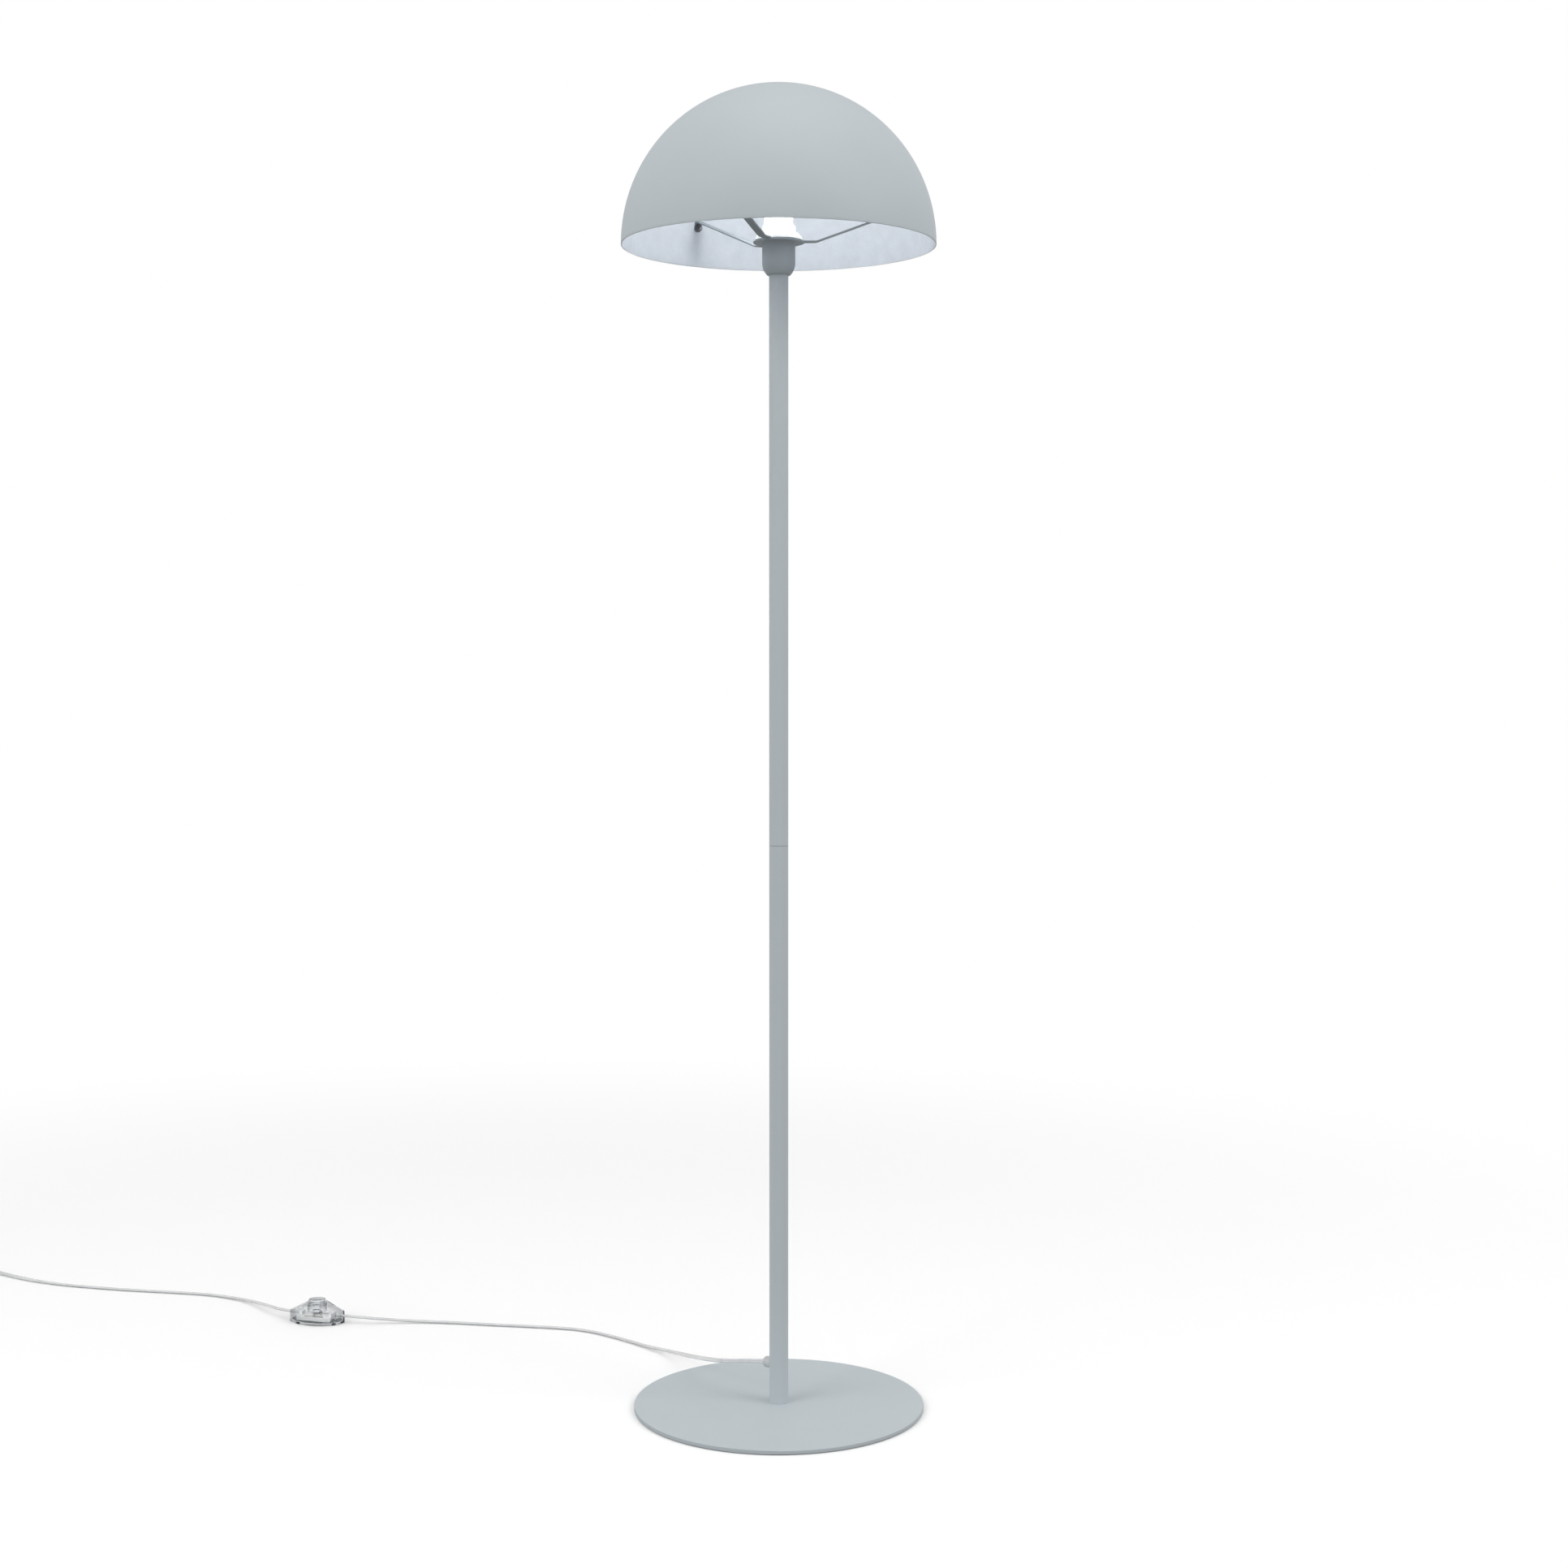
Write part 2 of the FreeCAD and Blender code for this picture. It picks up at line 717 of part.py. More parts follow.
def make_lampholder_wires():
    """Two insulated wires from the lead's end to the terminals."""
    low = pole_top + cup_wall + locknut_height + 4
    high = skirt_bottom - core_height + 3
    wires = []
    for side in (-1, 1):
        points = [V(0, side * 1.25, low), V(0, side * 1.25, low + 3), V(0, side * terminal_offset, high - 5),
                  V(0, side * terminal_offset, high)]
        wire, _ = rounded_route(points)
        wires.append(tube_along(wire, wire_diameter / 2, points[0], UP))
    return Part.makeCompound(wires)


# ---------------------------------------------------------------- foot switch, in its own axes
def blunt_outline(half_length, half_width, half_end, z):
    """Lemon outline with blunt ends: two arcs and two short ends."""
    a = V(-half_length, -half_end, z)
    b = V(half_length, -half_end, z)
    c = V(half_length, half_end, z)
    d = V(-half_length, half_end, z)
    return Part.Wire([
        Part.Arc(a, V(0, -half_width, z), b).toShape(), Part.LineSegment(b, c).toShape(),
        Part.Arc(c, V(0, half_width, z), d).toShape(), Part.LineSegment(d, a).toShape(),
    ])


def switch_form(inset, low, wall_top, crown_top):
    """Straight wall on the blunt outline, then a sloped crown that narrows to the button's collar."""
    sizes = (switch_half_length - inset, switch_half_width - inset, switch_half_end - inset * 0.6)
    wall = Part.Face(blunt_outline(*sizes, low)).extrude(UP * (wall_top - low))
    crown_sizes = (crown_half_length - inset, crown_half_width - inset, crown_half_end - inset * 0.6)
    crown = Part.makeLoft([blunt_outline(*sizes, wall_top), blunt_outline(*crown_sizes, crown_top)], True, True)
    return wall.fuse(crown).removeSplitter()


guide_radius = button_lip_radius + 0.1
collar_radius = button_radius + 0.1
post_spots = [V(side * switch_screw_along, -side * switch_screw_across, 0) for side in (-1, 1)]


def cord_hole(radius):
    """Bore along the switch for both cords."""
    return Part.makeCylinder(radius, 2 * switch_half_length + 4, V(-switch_half_length - 2, 0, switch_cord_height),
                             V(1, 0, 0))


def make_switch_cover():
    low = switch_plate_thickness
    cover = switch_form(0, low, switch_wall_height, switch_height)
    cover = rounded(cover, switch_corner_radius, lambda e: isinstance(e.Curve, Part.Line)
                    and abs(e.Length - (switch_wall_height - low)) < 1e-3 and abs(e.tangentAt(e.FirstParameter).z) > 0.99)
    hollow = switch_form(switch_wall, low - 1, switch_wall_height - switch_wall * 0.4, switch_height - switch_wall)
    posts = [cylinder(switch_post_radius, low, switch_height, at) for at in post_spots]
    posts = [post.common(cover) for post in posts]
    cover = cover.cut(hollow)
    for post, at in zip(posts, post_spots):
        cover = cover.fuse(post).cut(cylinder(switch_screw_radius + seat_gap, low - 1, low + switch_screw_length, at))
    guide_low = switch_height - guide_length
    guide = pipe(guide_radius + guide_wall, guide_radius, guide_low, switch_height - switch_wall * 0.5)
    cover = cover.fuse(guide)
    cover = cover.cut(cylinder(collar_radius, guide_low - 1, switch_height + 1))
    cover = cover.cut(cylinder(guide_radius, guide_low - 1, switch_height - switch_wall))
    return place_switch(cover.cut(cord_hole(cord_radius + soft_gap)))


def make_switch_plate():
    """Floor of the switch, with posts for the screws."""
    sizes = (switch_half_length, switch_half_width, switch_half_end)
    plate = Part.Face(blunt_outline(*sizes, 0)).extrude(UP * (switch_plate_thickness - 0.05))
    plate = rounded(plate, switch_corner_radius, lambda e: isinstance(e.Curve, Part.Line)
                    and abs(e.tangentAt(e.FirstParameter).z) > 0.99)
    for at in post_spots:
        plate = plate.cut(cylinder(switch_screw_head_radius + soft_gap, -1, switch_screw_head_height + 0.4, at))
        plate = plate.cut(cylinder(switch_screw_radius + seat_gap, -1, switch_plate_thickness + 1, at))
    return place_switch(plate)


def make_switch_block():
    """Light block with the contacts' bed and the spring's seat."""
    low = switch_plate_thickness
    block = Part.makeBox(2 * block_half_length, 2 * block_half_width, block_top - low,
                         V(-block_half_length, -block_half_width, low))
    block = rounded(block, block_corner_radius, lambda e: abs(e.tangentAt(e.FirstParameter).z) > 0.99)
    seat = spring_radius + spring_wire_diameter / 2 + soft_gap
    block = block.cut(pipe(seat, spring_radius - spring_wire_diameter, block_top - spring_seat_depth, block_top + 1))
    for side in (-1, 1):
        clamp = Part.makeBox(clamp_depth, clamp_width, switch_cord_height + cord_radius - block_top,
                             V(side * (block_half_length - clamp_depth / 2) - clamp_depth / 2, -clamp_width / 2,
                               block_top))
        block = block.fuse(clamp)
    return place_switch(block.removeSplitter())


def make_switch_contacts():
    """Brass strips on the block, either side of the spring."""
    strips = []
    for side in (-1, 1):
        y = side * (block_half_width - 2.6)
        strip = Part.makeBox(26, 3, contact_thickness, V(-13, y - 1.5, block_top))
        post = Part.makeBox(3, 3, 2.2, V(-1.5, y - 1.5, block_top))
        strips.append(strip.fuse(post).removeSplitter())
    return place_switch(Part.makeCompound(strips))


def make_switch_screws():
    screws = []
    for at in post_spots:
        low = 0.3
        head = cylinder(switch_screw_head_radius, low, low + switch_screw_head_height, at)
        shank = cylinder(switch_screw_radius, low, low + switch_screw_length - 2, at)
        slot = Part.makeBox(2 * switch_screw_head_radius + 1, 0.8, 0.8,
                            V(at.x - switch_screw_head_radius - 0.5, -0.4, low - 0.01))
        screws.append(head.fuse(shank).removeSplitter().cut(slot))
    return place_switch(Part.makeCompound(screws))


def make_switch_button():
    """Round push button, crowned on top, hollow below, with a lip that holds it in its guide."""
    bottom = switch_height - switch_wall - seat_gap - button_lip_height
    shoulder = bottom + button_lip_height
    inner = button_radius - button_wall
    edge = button_top - button_crown
    crown_rim = button_radius - 1.0
    crown_ball = (crown_rim ** 2 + button_crown ** 2) / (2 * button_crown)
    crown_mid = button_top - crown_ball + math.sqrt(crown_ball ** 2 - (crown_rim / 2) ** 2)
    button = turned([
        (inner, bottom), (button_lip_radius, bottom), (button_lip_radius, shoulder), (button_radius, shoulder),
        (button_radius, edge - 0.8), (button_radius - 0.3, edge - 0.2, "arc"), (crown_rim, edge),
        (crown_rim / 2, crown_mid, "arc"), (0, button_top),
        (0, edge - button_wall), (inner, edge - button_wall),
    ])
    return place_switch(button)


def make_button_spring():
    """Helical spring between the block and the button, as one unbroken wire."""
    low = block_top - spring_seat_depth + spring_wire_diameter / 2 + seat_gap
    high = button_top - button_crown - button_wall - spring_wire_diameter / 2 - seat_gap

    def path(t):
        return polar(spring_radius, t, low + (high - low) * t / (360 * spring_turns))

    spring, length, least = wound_tube(path, 0, 360 * spring_turns, 4 * spring_turns, spring_wire_diameter / 2, 0, 0)
    print(f"button spring: wire {length:.1f} long, least gap to itself {least:.2f}")
    return place_switch(spring)


# ---------------------------------------------------------------- wound rest of the cord
coil_middle = (coil_start_angle + coil_end_angle) / 2
coil_rate = coil_pitch / 360


def coil_path(t):
    """In along the floor, up a layer in the half turn about the middle, and out again on top."""
    off = t - coil_middle
    if abs(off) < 90:
        run = off * off / 180 + 45
        rise = (off + 90) / 180
        rise = rise * rise * (3 - 2 * rise)
    else:
        run = abs(off)
        rise = 0 if off < 0 else 1
    radius = coil_outer_radius - coil_rate * ((coil_end_angle - coil_start_angle) / 2 - run)
    return polar(radius, t, coil_rest + coil_layer * rise) + coil_centre


def make_cord_coil():
    quarters = round((coil_end_angle - coil_start_angle) / 90)
    coil, length, least = wound_tube(coil_path, coil_start_angle, coil_end_angle, quarters, cord_radius, coil_lead,
                                     coil_lead)
    print(f"cord coil: length {length:.1f}, least gap to itself {least:.2f}")
    return coil


def make_coil_tie():
    """Band round the turns at one place of the coil."""
    inner_low = coil_outer_radius - coil_rate * (coil_end_angle - coil_start_angle) / 2 - cord_radius - tie_play
    inner_high = coil_outer_radius + cord_radius + tie_play
    low, high = tie_play + tie_thickness, coil_rest + coil_layer + cord_radius + tie_play
    outer = Part.makeBox(inner_high - inner_low + 2 * tie_thickness, tie_width, high - low + 2 * tie_thickness,
                         V(inner_low - tie_thickness, -tie_width / 2, low - tie_thickness))
    outer = rounded(outer, 2.0, lambda e: abs(e.Length - tie_width) < 1e-6)
    inner = Part.makeBox(inner_high - inner_low, tie_width + 2, high - low, V(inner_low, -tie_width / 2 - 1, low))
    tie = outer.cut(inner)
    tie.rotate(ORIGIN, UP, tie_angle)
    tie.translate(coil_centre)
    return tie


# ---------------------------------------------------------------- plug, along -Y from the coil's end
def plug_section(y, width, thickness):
    """Rounded section of the plug's body, square to its axis."""
    half_w, half_t = width / 2, thickness / 2
    x = coil_centre.x - coil_outer_radius
    flat = max(half_w - half_t, 0.01)
    a, b = V(x - flat, y, plug_axis_z - half_t), V(x + flat, y, plug_axis_z - half_t)
    c, d = V(x + flat, y, plug_axis_z + half_t), V(x - flat, y, plug_axis_z + half_t)
    return Part.Wire([
        Part.LineSegment(a, b).toShape(), Part.Arc(b, V(x + half_w, y, plug_axis_z), c).toShape(),
        Part.LineSegment(c, d).toShape(), Part.Arc(d, V(x - half_w, y, plug_axis_z), a).toShape(),
    ])


plug_start = coil_centre.y - coil_lead - soft_gap
grip_thickness = 2 * (plug_axis_z - tie_play)


def make_plug_relief():
    x = coil_centre.x - coil_outer_radius
    cone = Part.makeCone(relief_tip_radius, relief_root_radius, relief_length, V(x, plug_start, plug_axis_z), V(0, -1, 0))
    for k in range(4):
        y = plug_start - 5 - 4.5 * k
        groove = Part.makeCylinder(relief_root_radius + 1, 1.2, V(x, y, plug_axis_z), V(0, -1, 0))
        core = Part.makeCylinder(relief_tip_radius - 0.4 + 0.2 * k, 1.2, V(x, y, plug_axis_z), V(0, -1, 0))
        cone = cone.cut(groove.cut(core))
    return cone


def make_plug_body():
    y = plug_start - relief_length
    sections = [
        plug_section(y, 2 * relief_root_radius + 2.0, 2 * relief_root_radius + 1.0),
        plug_section(y - 0.35 * plug_length, plug_waist_width, grip_thickness),
        plug_section(y - 0.72 * plug_length, plug_nose_width - 3, plug_nose_thickness + 0.8),
        plug_section(y - plug_length, plug_nose_width, plug_nose_thickness),
    ]
    body = Part.makeLoft(sections, True, False)
    for spot in pin_spots():
        body = body.cut(Part.makeCylinder(plug_pin_radius + seat_gap, plug_pin_root + 5, spot + V(0, plug_pin_root, 0),
                                          V(0, -1, 0)))
    return body


def pin_spots():
    """Where the pins leave the plug's face."""
    x = coil_centre.x - coil_outer_radius
    y = plug_start - relief_length - plug_length
    return [V(x + side * plug_pin_spacing / 2, y, plug_axis_z) for side in (-1, 1)]


def make_plug_pins():
    pins = []
    for spot in pin_spots():
        pin = Part.makeCylinder(plug_pin_radius, plug_pin_root + plug_pin_length, spot + V(0, plug_pin_root, 0),
                                V(0, -1, 0))
        tip = spot.y - plug_pin_length
        pins.append(rounded(pin, 1.2, lambda e: abs(e.CenterOfMass.y - tip) < 1e-6))
    return Part.makeCompound(pins)


# ---------------------------------------------------------------- build
save("base_felt", make_base_felt())
save("base_plate", make_base_plate())
save("base_screw", make_base_screw())
save("foot_boss", make_foot_boss())
save("lower_tube", make_lower_tube())
save("cord_gland", make_cord_gland())
save("lower_joint_bush", make_bush(seam_z - bush_length, seam_z))
save("joint_nipple", make_nipple(seam_z - nipple_grip, seam_z + nipple_grip))
save("upper_joint_bush", make_bush(seam_z, seam_z + bush_length))
save("upper_tube", make_tube(seam_z, pole_top, seam_z))
save("top_bush", make_bush(pole_top - bush_length, pole_top))
save("top_nipple", make_nipple(pole_top - nipple_grip, pole_top + cup_wall + locknut_height + 1))
save("lampholder_cup", make_cup())
save("lampholder_locknut", make_locknut())
save("lampholder_core", make_core())
save("terminal_screws", make_terminal_screws())
save("centre_contact", make_centre_contact())
save("screw_shell", make_screw_shell())
save("lampholder_skirt", make_skirt())
save("shade_carrier", make_carrier())
save("clamp_ring", make_clamp_ring())
save("shade_dome", make_shade())
save("shade_studs", make_studs())
save("shade_nuts", make_nuts())
save("bulb_cap", make_bulb_cap())
save("bulb_tip", make_bulb_tip())
save("bulb_glass", make_bulb_glass())
save("inner_lead", make_inner_lead())
save("lampholder_wires", make_lampholder_wires())
save("cord_to_switch", cord_tube("cord to switch", lamp_route, cord_diameter))
save("switch_plate", make_switch_plate())
save("switch_cover", make_switch_cover())
save("switch_block", make_switch_block())
save("switch_contacts", make_switch_contacts())
save("switch_screws", make_switch_screws())
save("switch_button", make_switch_button())
save("button_spring", make_button_spring())
save("cord_to_coil", cord_tube("cord to coil", plug_route, cord_diameter))
save("cord_coil", make_cord_coil())
save("coil_tie", make_coil_tie())
save("plug_relief", make_plug_relief())
save("plug_body", make_plug_body())
save("plug_pins", make_plug_pins())
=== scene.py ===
import math

import bpy
from mathutils import Matrix, Vector


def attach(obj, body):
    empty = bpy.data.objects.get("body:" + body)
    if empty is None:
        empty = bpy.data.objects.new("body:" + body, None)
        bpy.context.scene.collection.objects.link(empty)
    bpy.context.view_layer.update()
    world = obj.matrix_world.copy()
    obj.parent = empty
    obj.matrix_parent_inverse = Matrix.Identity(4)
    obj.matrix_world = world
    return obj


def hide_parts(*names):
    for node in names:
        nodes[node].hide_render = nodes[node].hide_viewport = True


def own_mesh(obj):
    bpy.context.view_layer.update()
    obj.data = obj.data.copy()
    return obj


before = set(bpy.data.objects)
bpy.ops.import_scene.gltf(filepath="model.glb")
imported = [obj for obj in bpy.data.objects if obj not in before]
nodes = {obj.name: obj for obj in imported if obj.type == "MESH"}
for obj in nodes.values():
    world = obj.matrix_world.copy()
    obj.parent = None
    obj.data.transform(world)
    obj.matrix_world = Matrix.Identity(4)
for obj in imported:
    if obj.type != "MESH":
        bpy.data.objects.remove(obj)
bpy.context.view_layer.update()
scene = bpy.context.scene
UP = Vector((0, 0, 1))

# ------------------------------------------------------------------ sizes, in metres
# All are the source's, but for the flex's thickness and the step of the coil's points.
RIM_Z = 1.311
SHADE_INNER = 0.1738
SHADE_OUTER = 0.175
SEAM_Z = 0.643
CORD_WIDTH = 0.0050
CORD_THICKNESS = 0.0029
COIL_CENTRE = Vector((-1.1286, 0.5589, 0))
COIL_RADIUS = 0.034
COIL_START, COIL_END = 57.0, 1260.0   # degrees
COIL_PITCH = 0.0057
COIL_REST = 0.0037       # centre of the flex in the coil's lower layer
COIL_LEAD = 0.008
COIL_STEP = 22.5         # degrees between points
COIL_CROSSING = 90       # degrees either side of the middle in which the coil climbs a layer
SWITCH_CENTRE = Vector((-0.595, 0.3435, 0))
SWITCH_TURN = math.radians(-17)


def srgb(r, g, b):
    """Linear colour of an 8-bit sRGB colour."""
    def linear(v):
        v = v / 255
        return v / 12.92 if v <= 0.04045 else ((v + 0.055) / 1.055) ** 2.4
    return (linear(r), linear(g), linear(b), 1)


def grey(level):
    return (level, level, level, 1)


# ------------------------------------------------------------------ camera, fitted to the photograph
CAMERA_PLACE = (0.0059, -2.6616, 0.8656)
CAMERA_DIP = 3.294       # degrees below the horizon
CAMERA_LENS, CAMERA_SENSOR = 54.38, 36   # millimetres
CAMERA_CLIP = (0.05, 60)
camera = bpy.data.objects.new("camera", bpy.data.cameras.new("camera"))
scene.collection.objects.link(camera)
camera.location = CAMERA_PLACE
camera.rotation_euler = (math.radians(90 - CAMERA_DIP), 0, 0)
camera.data.lens = CAMERA_LENS
camera.data.sensor_width = CAMERA_SENSOR
camera.data.clip_start, camera.data.clip_end = CAMERA_CLIP
scene.camera = camera
scene.view_settings.view_transform = "Standard"


# ------------------------------------------------------------------ materials
NOISE_RANGE = (0.3, 0.7)   # between which nearly all of a noise lies
MIX_COLOURS, MIX_RESULT = (6, 7), 2   # a Mix node's colour sockets
SEAM_DARK, SEAM_CLEAR = 0.00015, 0.00035   # metres from the seam: all dark within, all paint beyond
SEAM_TONE = 0.45         # the line's colour as a share of the paint's
WALL_BLEND = 0.35        # how soon the painted shade on a clear wall comes in as the wall turns from the eye


class Tree:
    """Short calls for a node tree."""

    def __init__(self, tree):
        self.tree = tree

    def add(self, kind, **settings):
        node = self.tree.nodes.new(kind)
        for key, value in settings.items():
            setattr(node, key, value)
        return node

    def link(self, start, end):
        self.tree.links.new(start, end)

    def ranged(self, value, low, high, out_low, out_high, **settings):
        node = self.add("ShaderNodeMapRange", **settings)
        for socket, number in (("From Min", low), ("From Max", high), ("To Min", out_low), ("To Max", out_high)):
            node.inputs[socket].default_value = number
        self.link(value, node.inputs["Value"])
        return node.outputs["Result"]

    def either(self, *values):
        """1 where any of the sockets is 1."""
        found = values[0]
        for value in values[1:]:
            node = self.add("ShaderNodeMath", operation="MAXIMUM")
            self.link(found, node.inputs[0])
            self.link(value, node.inputs[1])
            found = node.outputs[0]
        return found

    def blend(self, factor, first, second):
        """Shader between two shaders by a factor socket."""
        node = self.add("ShaderNodeMixShader")
        for index, start in enumerate((factor, first, second)):
            self.link(start, node.inputs[index])
        return node.outputs[0]


class Look(Tree):
    """A Principled material with short calls for the nodes that give it its grain."""

    def __init__(self, name, colour, roughness, **constants):
        self.material = bpy.data.materials.new(name)
        self.material.use_nodes = True
        super().__init__(self.material.node_tree)
        self.shader = self.tree.nodes["Principled BSDF"]
        self.colour = colour
        self.roughness = roughness
        self.shader.inputs["Base Color"].default_value = colour
        self.shader.inputs["Roughness"].default_value = roughness
        for socket, value in constants.items():
            self.shader.inputs[socket.replace("_", " ")].default_value = value
        self.place = self.add("ShaderNodeTexCoord").outputs["Object"]

    def noise(self, scale, detail=3.0, stretch=(1, 1, 1), roughness=0.55):
        """Noise whose grains are 1/scale metres long."""
        mapping = self.add("ShaderNodeMapping")
        mapping.inputs["Scale"].default_value = stretch
        self.link(self.place, mapping.inputs["Vector"])
        node = self.add("ShaderNodeTexNoise")
        node.inputs["Scale"].default_value = scale
        node.inputs["Detail"].default_value = detail
        node.inputs["Roughness"].default_value = roughness
        self.link(mapping.outputs["Vector"], node.inputs["Vector"])
        return node.outputs["Fac"]

    def spread_out(self, value, low, high):
        """A noise's usual range brought to low and high."""
        return self.ranged(value, *NOISE_RANGE, low, high)

    def mixed(self, factor, first, second):
        """Colour between two colours or sockets by a factor socket."""
        node = self.add("ShaderNodeMix", data_type="RGBA")
        self.link(factor, node.inputs[0])
        for index, value in zip(MIX_COLOURS, (first, second)):
            if isinstance(value, bpy.types.NodeSocket):
                self.link(value, node.inputs[index])
            else:
                node.inputs[index].default_value = value
        return node.outputs[MIX_RESULT]

    def tinted(self, value, spread):
        """Base colour that varies by spread, as a share, with a noise."""
        dark = [c * (1 - spread) for c in self.colour[:3]] + [1]
        light = [min(1, c * (1 + spread)) for c in self.colour[:3]] + [1]
        colour = self.mixed(self.spread_out(value, 0, 1), dark, light)
        self.link(colour, self.shader.inputs["Base Color"])
        return colour

    def rough(self, value, spread):
        """Roughness that varies by spread, up and down."""
        self.link(self.spread_out(value, self.roughness - spread, self.roughness + spread),
                  self.shader.inputs["Roughness"])

    def bumps(self, *layers):
        """Bump layers, each (height socket, strength, distance in metres)."""
        normal = None
        for height, strength, distance in layers:
            node = self.add("ShaderNodeBump")
            node.inputs["Strength"].default_value = strength
            node.inputs["Distance"].default_value = distance
            self.link(height, node.inputs["Height"])
            if normal:
                self.link(normal, node.inputs["Normal"])
            normal = node.outputs["Normal"]
        self.link(normal, self.shader.inputs["Normal"])


def powder_coat(name, colour, roughness=0.52, seam=False):
    """Pale satin powder coat: fine orange peel, faint mottling, and a dark line where the pole's tubes meet."""
    look = Look(name, colour, roughness, Specular_IOR_Level=0.2)
    peel = look.noise(420, 2.0)
    grit = look.noise(1700, 1.0)
    cloud = look.noise(9, 3.0)
    tone = look.tinted(cloud, 0.012)
    look.rough(peel, 0.05)
    if seam:
        split = look.add("ShaderNodeSeparateXYZ")
        look.link(look.place, split.inputs[0])
        away = look.add("ShaderNodeMath", operation="SUBTRACT")
        away.inputs[1].default_value = SEAM_Z
        look.link(split.outputs["Z"], away.inputs[0])
        size = look.add("ShaderNodeMath", operation="ABSOLUTE")
        look.link(away.outputs[0], size.inputs[0])
        line = look.ranged(size.outputs[0], SEAM_DARK, SEAM_CLEAR, 1, 0)
        dark = [c * SEAM_TONE for c in colour[:3]] + [1]
        look.link(look.mixed(line, tone, dark), look.shader.inputs["Base Color"])
    look.bumps((peel, 0.10, 0.0004), (grit, 0.06, 0.0001))
    return look.material


def shade_inside():
    """Off-white inner coat: a little mottled, as a spun and sprayed inside is."""
    look = Look("shade_inside_white", srgb(222, 227, 233), 0.6, Specular_IOR_Level=0.3)
    mottle = look.noise(60, 4.0, roughness=0.7)
    grain = look.noise(700, 2.0)
    look.tinted(mottle, 0.045)
    look.bumps((mottle, 0.12, 0.0012), (grain, 0.15, 0.0002))
    return look.material


def steel(name, colour, roughness, brushed=(1, 1, 1)):
    """Bare or plated metal with fine scratches and faint stains."""
    look = Look(name, colour, roughness, Metallic=1.0)
    scratches = look.noise(900, 3.0, brushed)
    stains = look.noise(40, 3.0)
    look.tinted(stains, 0.08)
    look.rough(scratches, 0.08)
    look.bumps((scratches, 0.12, 0.0001))
    return look.material


def moulded(name, colour, roughness, **constants):
    """Moulded plastic with a faint flow pattern and a fine skin."""
    look = Look(name, colour, roughness, **constants)
    flow = look.noise(25, 2.0, (1, 1, 3))
    skin = look.noise(1200, 2.0)
    look.tinted(flow, 0.02)
    look.rough(skin, 0.04)
    look.bumps((skin, 0.08, 0.00008))
    return look.material


def outlined(look, tone, edge):
    """Painted shade: clear plastic's base colour darkens where its wall is seen edge-on, standing in for the dark
    outlines that refraction and reflection give.
    """
    facing = look.add("ShaderNodeLayerWeight")
    facing.inputs["Blend"].default_value = WALL_BLEND
    look.link(look.mixed(facing.outputs["Facing"], tone, edge), look.shader.inputs["Base Color"])


def clear(name, colour, edge, roughness, ior, waves):
    """Clear moulded plastic, not quite even in thickness or polish."""
    look = Look(name, colour, roughness, Transmission_Weight=1.0, IOR=ior)
    flow = look.noise(90, 2.0)
    skin = look.noise(1500, 2.0)
    # painted shade at the walls' edges, by the angle they are seen at
    outlined(look, look.tinted(flow, 0.01), edge)
    look.rough(skin, roughness * 0.4)
    look.bumps((flow, waves, 0.0006), (skin, waves * 0.5, 0.00005))
    return look.material


def flexible_jacket():
    """Soft clear jacket of the flex, slightly milky."""
    look = Look("clear_cord", srgb(240, 241, 242), 0.3, Transmission_Weight=0.45, IOR=1.2)
    flow = look.noise(60, 2.0)
    # painted shade along the flex's edges, by the angle they are seen at
    outlined(look, look.tinted(flow, 0.01), srgb(205, 207, 209))
    look.bumps((flow, 0.04, 0.0003))
    return look.material


def felt():
    """Dark pressed felt."""
    look = Look("felt_pad", srgb(70, 72, 75), 0.95, Sheen_Weight=0.4)
    fibre = look.noise(2600, 4.0, (1, 0.35, 1))
    look.tinted(fibre, 0.25)
    look.bumps((fibre, 0.6, 0.0004))
    return look.material


def opal():
    """Lit opal glass."""
    look = Look("opal_glass_lit", srgb(250, 250, 248), 0.35, Emission_Strength=BULB_GLOW)
    depth = look.noise(14, 2.0)
    tone = look.mixed(look.spread_out(depth, 0, 1), srgb(250, 250, 250), srgb(255, 254, 252))
    look.link(tone, look.shader.inputs["Emission Color"])
    look.tinted(depth, 0.01)
    look.bumps((look.noise(500, 2.0), 0.03, 0.0001))
    return look.material


BULB_GLOW = 10.0
HOLDER_PAINTED_GLOW = 0.45       # painted glow: the thin white collar and ring emit light themselves, standing in for the bulb's light through them
PAINT = srgb(189, 197, 201)
paint = powder_coat("powder_coat", PAINT)
# Painted shade: the lampholder cup and the shade carrier get darker copies of the same powder coat, standing in
# for the shade they sit in under the dome.
painted_shade_fitting_coat = powder_coat("powder_coat_fittings_painted_shade", srgb(177, 185, 189), 0.55)
painted_shade_carrier_coat = powder_coat("powder_coat_carrier_painted_shade", srgb(158, 166, 170), 0.55)
pole_paint = powder_coat("powder_coat_pole", PAINT, seam=True)
inside_white = shade_inside()
zinc = steel("zinc_plated_steel", srgb(150, 152, 155), 0.38)
dark_steel = steel("dark_zinc", srgb(112, 116, 120), 0.45)
brass = steel("brass", srgb(196, 164, 98), 0.32)
nickel = steel("nickel", srgb(190, 188, 184), 0.25, (1, 1, 12))
white_plastic = moulded("white_plastic", srgb(236, 237, 236), 0.35)
